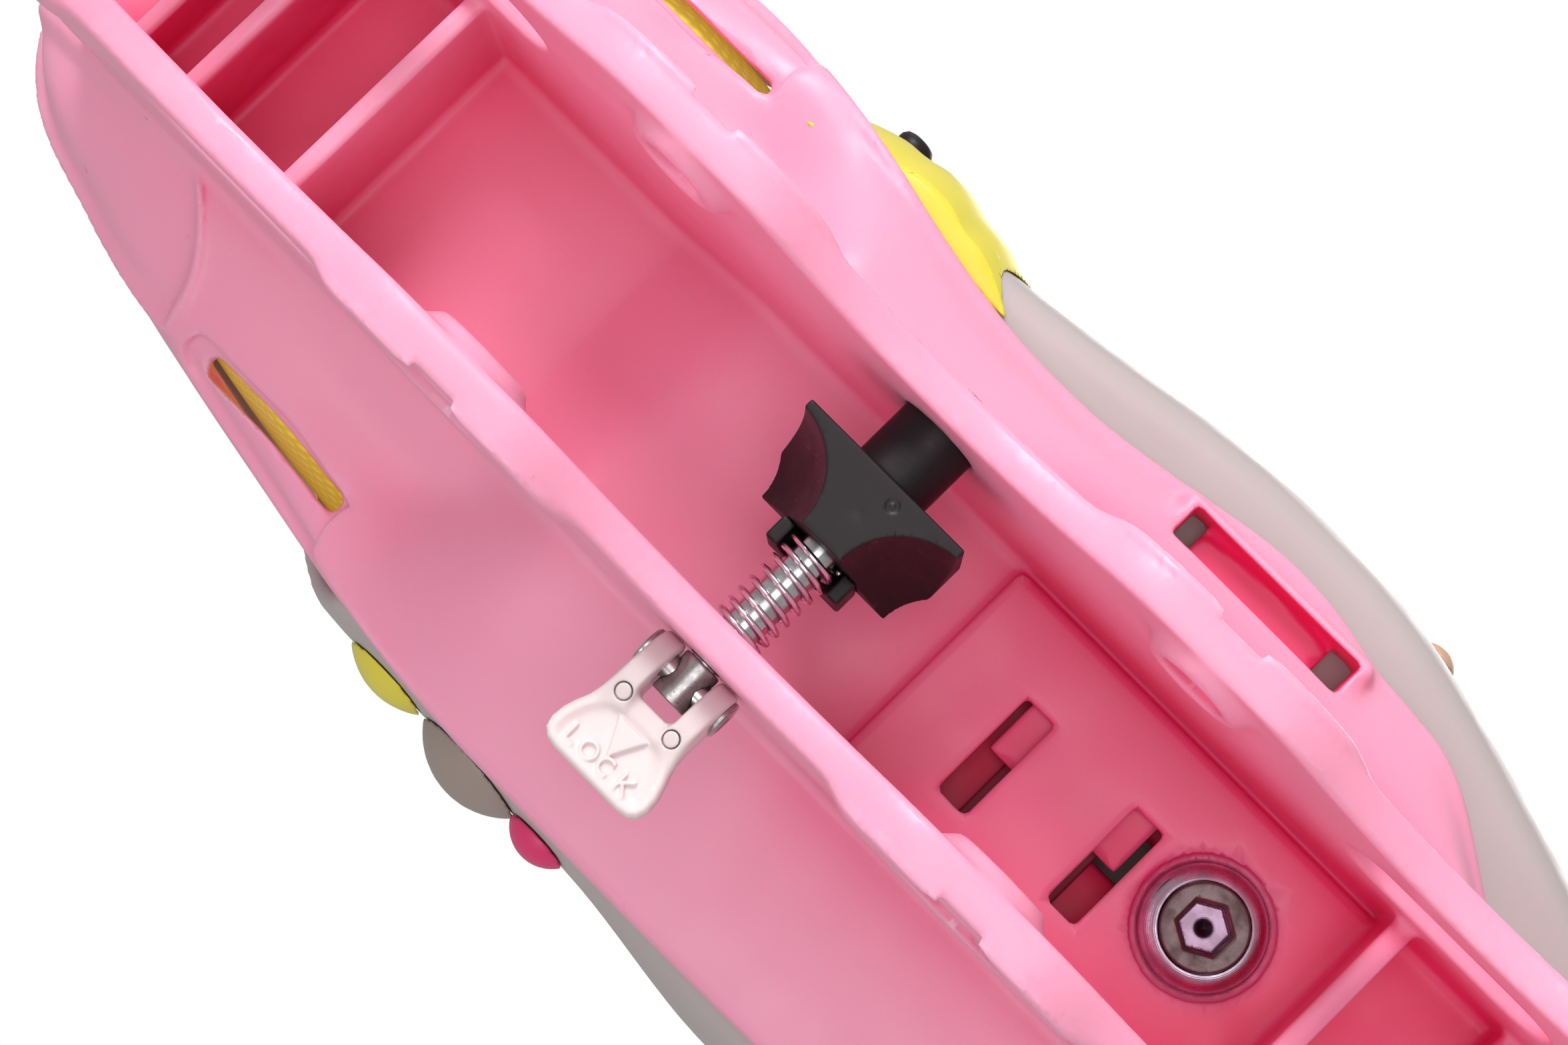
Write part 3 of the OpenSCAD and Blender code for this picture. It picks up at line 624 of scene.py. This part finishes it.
def shell_rings(G):
    return loft_field(G, [
        ring(-44, 147, TL, TR, 50.7, 0.86),
        ring(-46, 152, TL, TR, 54, 0.94),
        ring(-48, 156, TL, TR, 62, 0.985),
        ring(-48, 154, TL, TR, 72),
        ring(-48, 141, TL, TR, 84, 0.955),
        ring(-46, 116, TL, TR, 94, 0.88),
        ring(-45, 104, TL, TR, 99, 0.8)])

# ---------------------------------------------------------------- materials
def new_material(name):
    m = bpy.data.materials.new(name)
    m.use_nodes = True
    nt = m.node_tree
    return m, nt, nt.nodes["Principled BSDF"], nt.nodes["Material Output"]

def mk(nt, kind, **kw):
    n = nt.nodes.new(kind)
    for k, v in kw.items():
        if k in n.inputs: n.inputs[k].default_value = v
        else: setattr(n, k, v)
    return n

def math_node(nt, op, a, b=None, clamp=False):
    n = nt.nodes.new("ShaderNodeMath")
    n.operation = op
    n.use_clamp = clamp
    for i, v in enumerate((a, b)):
        if v is None: continue
        if isinstance(v, (int, float)): n.inputs[i].default_value = v
        else: nt.links.new(v, n.inputs[i])
    return n.outputs[0]

def mix(nt, fac, a, b):
    n = nt.nodes.new("ShaderNodeMix")
    n.data_type = "RGBA"
    for sock, v in ((n.inputs[0], fac), (n.inputs[6], a), (n.inputs[7], b)):
        if isinstance(v, bpy.types.NodeSocket): nt.links.new(v, sock)
        elif isinstance(v, (int, float)): sock.default_value = v
        else: sock.default_value = (*v, 1)
    return n.outputs[2]

def noise(nt, vec, scale, detail=2.0, rough=0.5, out="Fac"):
    n = nt.nodes.new("ShaderNodeTexNoise")
    n.inputs["Scale"].default_value = scale
    n.inputs["Detail"].default_value = detail
    n.inputs["Roughness"].default_value = rough
    nt.links.new(vec, n.inputs["Vector"])
    return n.outputs[out]

def ramp(nt, fac, a, b, va=0.0, vb=1.0):
    n = nt.nodes.new("ShaderNodeMapRange")
    n.interpolation_type = "SMOOTHSTEP"
    nt.links.new(fac, n.inputs[0])
    for i, v in zip((1, 2, 3, 4), (a, b, va, vb)): n.inputs[i].default_value = v
    return n.outputs[0]

def vector_node(nt, op, a, b=None):
    n = nt.nodes.new("ShaderNodeVectorMath")
    n.operation = op
    nt.links.new(a, n.inputs[0])
    if b is not None:
        n.inputs[1].default_value = b
    return n.outputs

def scaled(nt, vec, s):
    return vector_node(nt, "MULTIPLY", vec, s)[0]

def bump(nt, bsdf, height, dist, strength=1.0):
    n = nt.nodes.new("ShaderNodeBump")
    n.inputs["Distance"].default_value = dist
    n.inputs["Strength"].default_value = strength
    nt.links.new(height, n.inputs["Height"])
    nt.links.new(n.outputs[0], bsdf.inputs["Normal"])

AO_REACH = 0.028

def plastic(name, color, rough=0.42, spec=0.45, sss=0.0, radius=(1, 0.3, 0.35), depth=0.004, grain=0.012,
        edge=None, vary=0.05, scratch=0.25, painted_shade=None):
    """Moulded plastic; the colour given for hollows is painted shade they deepen to, edge the paler one on its
    edges.
    """
    m, nt, b, out = new_material(name)
    co = mk(nt, "ShaderNodeTexCoord").outputs["Object"]
    big = noise(nt, co, 22, 3)
    mid = noise(nt, co, 140, 2)
    fine = noise(nt, co, 2600, 2, 0.6)
    c = np.array(color)
    low, high = (tuple(np.clip(c*k, 0, 1)) for k in (1 - vary, 1 + vary*0.6))
    col = mix(nt, ramp(nt, big, 0.3, 0.7), low, high)
    if painted_shade is not None:
        # painted shade: hollows that ambient occlusion finds are tinted towards the deep shade colour
        ao = nt.nodes.new("ShaderNodeAmbientOcclusion")
        ao.samples = 8
        ao.only_local = True
        ao.inputs["Distance"].default_value = AO_REACH
        sep = nt.nodes.new("ShaderNodeSeparateXYZ")
        nt.links.new(co, sep.inputs[0])
        # painted shade, deeper under the toe, where the plates behind the floor shut the light out
        toe_shade = ramp(nt, sep.outputs[0], 0.035, 0.055, 0.0, 0.26)
        openness = math_node(nt, "SUBTRACT", ao.outputs["AO"], toe_shade)
        col = mix(nt, ramp(nt, openness, 0.05, 0.74), painted_shade, col)
    if edge is not None:
        p = mk(nt, "ShaderNodeNewGeometry").outputs["Pointiness"]
        col = mix(nt, ramp(nt, p, 0.52, 0.60, 0, 0.55), col, edge)
    nt.links.new(col, b.inputs["Base Color"])
    scr = noise(nt, scaled(nt, co, (300, 2400, 300)), 1.0, 1)
    worn = ramp(nt, scr, 0.62, 0.75, 0, -0.06*scratch)
    r = math_node(nt, "ADD", ramp(nt, mid, 0.3, 0.7, rough - 0.05, rough + 0.06), worn)
    nt.links.new(r, b.inputs["Roughness"])
    h = math_node(nt, "ADD", fine, math_node(nt, "MULTIPLY", mid, 1.6))
    bump(nt, b, h, grain*MM, 0.7)
    b.inputs["Specular IOR Level"].default_value = spec
    if sss:
        b.subsurface_method = "RANDOM_WALK"
        b.inputs["Subsurface Weight"].default_value = sss
        b.inputs["Subsurface Radius"].default_value = radius
        b.inputs["Subsurface Scale"].default_value = depth
    m.diffuse_color = (*color, 1)
    return m

SOCKET_R = (2.75*MM, 2.95*MM)
BORE_SHADE_R = (0.9*MM, 1.4*MM)
TURNING = 34000.0

def metal(name, color, rough=0.28, pits=0.0, brushed=None, aniso=0.0, radial=None, stain=0.0, grain=0.004,
        core=None):
    """Bare metal; radial is the axis point of turned marks, core the colour of a socket round that axis, whose
    bore is painted near black as painted shade.
    """
    m, nt, b, out = new_material(name)
    co = mk(nt, "ShaderNodeTexCoord").outputs["Object"]
    c = np.array(color)
    b.inputs["Metallic"].default_value = 1.0
    big = noise(nt, co, 420, 3, 0.6)
    col = mix(nt, ramp(nt, big, 0.3, 0.75), tuple(c), tuple(c*(0.72 - 0.25*stain)))
    spots = noise(nt, co, 3800, 2, 0.6)
    if pits:
        col = mix(nt, ramp(nt, spots, 0.62, 0.70, 0, pits), col, (0.05, 0.045, 0.045))
    lines = noise(nt, scaled(nt, co, brushed), 1.0, 2) if brushed else spots
    inner = None
    if radial:
        off_axis = vector_node(nt, "SUBTRACT", co, radial)[0]
        rho = vector_node(nt, "LENGTH", scaled(nt, off_axis, (1, 1, 0)))["Value"]
        if core:
            inner = ramp(nt, rho, *SOCKET_R, 1.0, 0.0)
            col = mix(nt, inner, col, core)
            # painted shade: the bore at the axis is painted near black
            col = mix(nt, ramp(nt, rho, *BORE_SHADE_R, 1.0, 0.0), col, (0.03, 0.02, 0.03))
        lines = math_node(nt, "SINE", math_node(nt, "MULTIPLY", rho, TURNING))
        lines = math_node(nt, "ADD", lines, math_node(nt, "MULTIPLY", noise(nt, co, 900, 2), 0.6))
        tg = mk(nt, "ShaderNodeTangent", direction_type="RADIAL", axis="Z")
        nt.links.new(tg.outputs[0], b.inputs["Tangent"])
    nt.links.new(col, b.inputs["Base Color"])
    marks = ramp(nt, lines, 0.5, 0.8, 0, 0.08)
    r = math_node(nt, "ADD", ramp(nt, big, 0.3, 0.7, rough - 0.05, rough + 0.1), marks)
    if inner is not None:
        r = math_node(nt, "SUBTRACT", r, math_node(nt, "MULTIPLY", inner, 0.20), clamp=True)
    nt.links.new(r, b.inputs["Roughness"])
    b.inputs["Anisotropic"].default_value = aniso
    bump(nt, b, lines, grain*MM, 0.6)
    m.diffuse_color = (*color, 1)
    return m

def wave(nt, vec, direction, scale):
    n = nt.nodes.new("ShaderNodeTexWave")
    n.bands_direction = direction
    n.inputs["Scale"].default_value = scale
    n.inputs["Distortion"].default_value = 0.6
    nt.links.new(vec, n.inputs["Vector"])
    return n.outputs["Fac"]

def fabric(name, color, thread=900, dark=0.55, fuzz=0.4, lit=0.0):
    m, nt, b, out = new_material(name)
    co = mk(nt, "ShaderNodeTexCoord").outputs["Object"]
    c = np.array(color)
    threads = [wave(nt, co, way, thread*0.31) for way in ("DIAGONAL", "Z")]
    knit = math_node(nt, "MULTIPLY", *threads)
    blot = noise(nt, co, 60, 3)
    col = mix(nt, ramp(nt, knit, 0.1, 0.7), tuple(c*dark), tuple(c))
    col = mix(nt, ramp(nt, blot, 0.35, 0.7, 0, 0.25), col, tuple(c*0.8))
    nt.links.new(col, b.inputs["Base Color"])
    b.inputs["Roughness"].default_value = 0.85
    b.inputs["Sheen Weight"].default_value = fuzz
    b.inputs["Sheen Roughness"].default_value = 0.5
    fibre = math_node(nt, "MULTIPLY", noise(nt, co, 4000, 2), 0.5)
    bump(nt, b, math_node(nt, "ADD", knit, fibre), 0.12*MM, 0.8)
    if lit:
        # painted light: a glow on the padding, low down only, stands in for light that reaches it through the
        # thin cup
        sep = nt.nodes.new("ShaderNodeSeparateXYZ")
        nt.links.new(co, sep.inputs[0])
        nt.links.new(col, b.inputs["Emission Color"])
        nt.links.new(ramp(nt, sep.outputs[2], 0.062, 0.072, lit, 0.0), b.inputs["Emission Strength"])
    m.diffuse_color = (*color, 1)
    return m

# the deep red that its hollows deepen to is painted shade
PINK = plastic("pink_moulded", (0.93, 0.36, 0.52), 0.40, sss=0.35, radius=(1, 0.28, 0.38), grain=0.008,
    edge=(0.97, 0.60, 0.74), vary=0.03, painted_shade=(0.82, 0.035, 0.18))
PINK2 = plastic("pink_moulded_small", (0.80, 0.10, 0.24), spec=0.4, sss=0.2, radius=(1, 0.28, 0.33),
    depth=0.003, grain=0.010, vary=0.04)
SHELL = plastic("shell_moulded", (0.50, 0.43, 0.425), 0.46, 0.3, sss=0.15, radius=(1, 0.8, 0.75), depth=0.003,
    grain=0.008, vary=0.03)
LEVER = plastic("lever_moulded", (0.78, 0.66, 0.66), 0.40, sss=0.35, radius=(1, 0.6, 0.6), depth=0.0012,
    grain=0.010, edge=(0.88, 0.78, 0.77), vary=0.04)
BLACK = plastic("black_moulded", (0.009, 0.005, 0.007), 0.5, 0.32, grain=0.02, edge=(0.05, 0.028, 0.034),
    vary=0.25, scratch=1.5)
STEEL = metal("steel_worn", (0.60, 0.57, 0.57), 0.24, 0.55, stain=0.6)
ROD = metal("steel_rod", (0.66, 0.64, 0.65), 0.20, 0.25, brushed=(5000, 400, 5000))
WIRE = metal("wire_bright", (0.82, 0.74, 0.80), 0.16, 0.1, brushed=(3000, 3000, 3000), grain=0.002)
DARK = metal("steel_dark", (0.20, 0.155, 0.155), 0.46, 0.3, radial=(CLAMP*MM, 0, 0.035), stain=0.4, grain=0.003,
    core=(0.30, 0.20, 0.28))
WASH = metal("washer_turned", (0.56, 0.47, 0.58), 0.24, radial=(CLAMP*MM, 0, 0.036), aniso=0.75,
    grain=0.003)
PLATE = metal("plate_zinc", (0.42, 0.40, 0.40), 0.40, 0.2)
# painted shade and painted reflection: the steel index plate is coloured the dark red of the shaded pink round
# it
INDEX_SHADED = plastic("plate_painted_shade", (0.24, 0.008, 0.035), 0.45, 0.3)
DEEP = plastic("pink_in_shade", (0.78, 0.015, 0.10), 0.45, 0.3)
LINER = fabric("liner_cloth", (0.80, 0.68, 0.05), dark=0.78, lit=0.36)
SOLE = fabric("insole_cloth", (0.16, 0.145, 0.16), 1100)
YELLOW = plastic("yellow_moulded", (0.80, 0.68, 0.06), 0.34, 0.5, sss=0.15, radius=(1, 0.8, 0.3), depth=0.002,
    grain=0.008, vary=0.04)
TAUPE = plastic("taupe_moulded", (0.34, 0.27, 0.235), 0.4, 0.45, vary=0.06)
MAGENTA = plastic("magenta_moulded", (0.72, 0.035, 0.16), 0.38, sss=0.1, radius=(1, 0.3, 0.4), depth=0.002,
    grain=0.008)
TAN = plastic("tan_moulded", (0.58, 0.36, 0.25), 0.4, 0.45, vary=0.06)

# ---------------------------------------------------------------- assembly
def place(ob, mat, body, slot_name, *nodes):
    ob.data.materials.clear()
    ob.data.materials.append(mat)
    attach(ob, body)
    if nodes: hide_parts(*nodes)
    return ob

place(make_base(), PINK, "base", "base_pink", "chassis")
place(make_shell(), SHELL, "toe", "shell_white", "toe_shell")
place(make_liner(), LINER, "base", "liner_yellow", "liner")
place(make_insole(), SOLE, "base", "insole_grey", "insole")
place(make_lever(), LEVER, "lever", "lever_white", "lock_lever")
place(make_eye(), STEEL, "lock_carriage", "steel", "lever_barrel")
place(make_block(), BLACK, "lock_carriage", "lock_black", "lock_block")
place(make_seat(), BLACK, "lock_carriage", "lock_black", "spring_seat")
place(make_guide(), BLACK, "lock_carriage", "lock_black", "guide_pin")
place(make_nut("lock_hex", (MID, 0, LOCK_Z), "y", 6.67, -19.2, -16.4, 2.25), PLATE, "lock_carriage", "steel",
    "lock_nut")
place(make_bolt(), DARK, "base", "steel", "frame_bolt")
place(make_nut("frame_square", (CLAMP, 0, 0), "z", 10, 45.8, 49.6, 2.5, True), PLATE, "base", "steel",
    "frame_nut")

pin = [(0, -5.45), (0.9, -5.45), (1.5, -5.85), (2.0, -5.85), (2.3, -5.6), (2.3, -5.25), (1.5, -5.25)]
pin = pin + [(r, -t) for r, t in pin[::-1]]
place(lathe("pin_steel", pin, "x", (MID, PIN_Y, LOCK_Z)), STEEL, "lock_carriage", "steel", "lever_pin")
rod = [(0, -20.5), (1.7, -20.5), (2.2, -20.1)]
rod += [(2.25 - 0.16*(i % 2), -20.0 + 0.35*i) for i in range(13)]
rod += [(2.25, -15.4), (2.25, 19.0), (2.05, 19.2), (1.8, 19.2), (1.8, 20.4), (0, 20.4)]
place(lathe("rod_steel", rod, "y", (MID, 0, LOCK_Z)), ROD, "lock_carriage", "steel", "lock_bolt")
washer = [(5.07, 36.75), (5.07, 35.35), (5.2, 35.22), (5.5, 35.25), (6.0, 35.4), (6.5, 35.68), (6.9, 36.05),
    (7.25, 36.55), (7.45, 37.1), (7.5, 37.45), (2.6, 37.48), (2.6, 36.8)]
place(lathe("washer_steel", washer, "z", (CLAMP, 0, 0), 160, 30), WASH, "base", "bright_steel",
    "frame_washer")
spring = make_spring()
place(spring, WIRE, "base", "bright_steel", "lock_spring")
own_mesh(spring)

place(slab("latch_bar", (63.5, -12.8, 38.8), (82.9, 2.5, 41), 0.3), PINK2, "base", "base_pink",
    "latch_tongue")
place(slab("index_strip", (66, -6, 41.2), (80.5, 11.5, 42.6), 0.2, 0.2), INDEX_SHADED, "base", "steel",
    "index_plate")
posts = [((x, s*10.3 - 3.3, 44), (x + 7.5, s*10.3 + 3.3, 50.65)) for x in (51, 96) for s in (-1, 1)]
slot_cut = lambda x, y, z: stadium(x - 81.9, y, 30, 6) + 0*z
strip = [((50, -14, 43), (104, 14, 45.6))]
place(slab("slide_bar", (50, -14, 43), (104, 14, 50.7), 0.4, 0.5, [slot_cut], strip + posts), DEEP, "toe",
    "base_pink", "slide_plate")

lobes = lambda x, z, rho: 0.45*(np.exp(-((x - 8)/2.2)**2) + np.exp(-((x - 19)/2.2)**2))
place(make_badge("ornament_right", (13, 40.6, 69), -1, 17.5, 4.7, hole=(5, 69), relief=lobes), YELLOW, "toe",
    "ornament_yellow", "badge_right")
place(make_badge("ornament_disc", (6.8, 44.6, 67), 1, 7.4, 3.6), YELLOW, "toe", "ornament_yellow",
    "badge_left_disc")
place(make_badge("ornament_dome", (21.6, 44.9, 67), 1, 9, 5.4), TAUPE, "toe", "ornament_taupe",
    "badge_left_dome")
# the bead is notched where the dome beside it sits
dome_room = ((21.6, 44.7, 67), 1, 9.3, 5.6)
place(make_badge("ornament_bead", (33.4, 44.9, 65), 1, 5, 4.2, clear=dome_room), MAGENTA, "toe",
    "ornament_magenta", "badge_left_bead")
place(make_badge("stud_cap", (93, 43.4, 68), -1, 3.2, 3), TAN, "toe", "stud_tan", "toe_stud")
dot = [(0, -46.0), (1.5, -45.95), (2.1, -45.7), (2.5, -45.1), (2.53, -44.6), (2.53, -41.6), (0, -41.6)]
place(lathe("ornament_dot", dot, "y", (5, 0, 69)), BLACK, "toe", "lock_black", "badge_right_dot")

# ---------------------------------------------------------------- stage
def area(name, direction, dist, size, power, color=(1, 1, 1), at=(0.05, 0, 0.02)):
    l = bpy.data.lights.new(name, "AREA")
    l.shape = "DISK"
    l.size = size
    l.energy = power
    l.color = color
    o = bpy.data.objects.new(name, l)
    d = Vector(direction).normalized()
    o.location = Vector(at) + d*dist
    o.rotation_euler = d.to_track_quat("Z", "Y").to_euler()
    bpy.context.scene.collection.objects.link(o)
    return o

area("key", (-0.50, -0.50, -0.70), 1.1, 0.45, 10.5)
area("fill", (0.10, 0.10, -1.0), 1.3, 0.9, 4.5)
area("lever_side", (0.1, 0.75, -0.65), 1.3, 0.7, 3.5)
area("top", (0.2, -0.3, 1.0), 1.2, 0.9, 9.0)
area("side", (-0.6, -1.0, 0.25), 1.3, 0.7, 1.5)

AMBIENT = 0.42
world = bpy.data.worlds.new("studio")
bpy.context.scene.world = world
world.use_nodes = True
wn = world.node_tree
bg = wn.nodes["Background"]
lp = wn.nodes.new("ShaderNodeLightPath")
amb = wn.nodes.new("ShaderNodeMapRange")
wn.links.new(lp.outputs["Is Camera Ray"], amb.inputs[0])
amb.inputs[3].default_value = AMBIENT
amb.inputs[4].default_value = 1.0
wn.links.new(amb.outputs[0], bg.inputs["Strength"])
bg.inputs["Color"].default_value = (1, 1, 1, 1)

bpy.ops.mesh.primitive_plane_add(size=6, location=(0.035, 0, -8.2*MM))
floor = bpy.context.object
floor.name = "floor"
m, nt, b, out = new_material("floor_paint")
b.inputs["Base Color"].default_value = (0.86, 0.86, 0.86, 1)
b.inputs["Roughness"].default_value = 0.75
tr = nt.nodes.new("ShaderNodeBsdfTransparent")
mx = nt.nodes.new("ShaderNodeMixShader")
nt.links.new(mk(nt, "ShaderNodeNewGeometry").outputs["Backfacing"], mx.inputs[0])
nt.links.new(b.outputs[0], mx.inputs[1])
nt.links.new(tr.outputs[0], mx.inputs[2])
nt.links.new(mx.outputs[0], out.inputs["Surface"])
floor.data.materials.append(m)
for k in ("diffuse", "glossy", "transmission", "volume_scatter", "shadow"):
    setattr(floor, "visible_" + k, False)

# camera solved from the photo: focal length in its pixels, place in millimetres
PHOTO_WIDTH, FOCAL, SENSOR = 2352, 5238, 36
CAMERA_AT = (69.53, 29.60, -348.41)
cam = bpy.data.cameras.new("photo_camera")
cam.sensor_width = SENSOR
cam.lens = FOCAL/PHOTO_WIDTH*SENSOR
cam.clip_start = 0.01
cam.clip_end = 20
camera = bpy.data.objects.new("photo_camera", cam)
bpy.context.scene.collection.objects.link(camera)
r0 = Vector((0.7015, -0.7124, 0.0199)).normalized()
r2 = Vector((-0.1023, -0.0731, 0.9921)).normalized()
r1 = r2.cross(r0).normalized()
r0 = r1.cross(r2)
turn = Matrix((r0, -r1, -r2)).transposed().to_4x4()
camera.matrix_world = Matrix.Translation(Vector(CAMERA_AT)*MM) @ turn
bpy.context.scene.camera = camera
bpy.context.scene.view_settings.view_transform = "Standard"
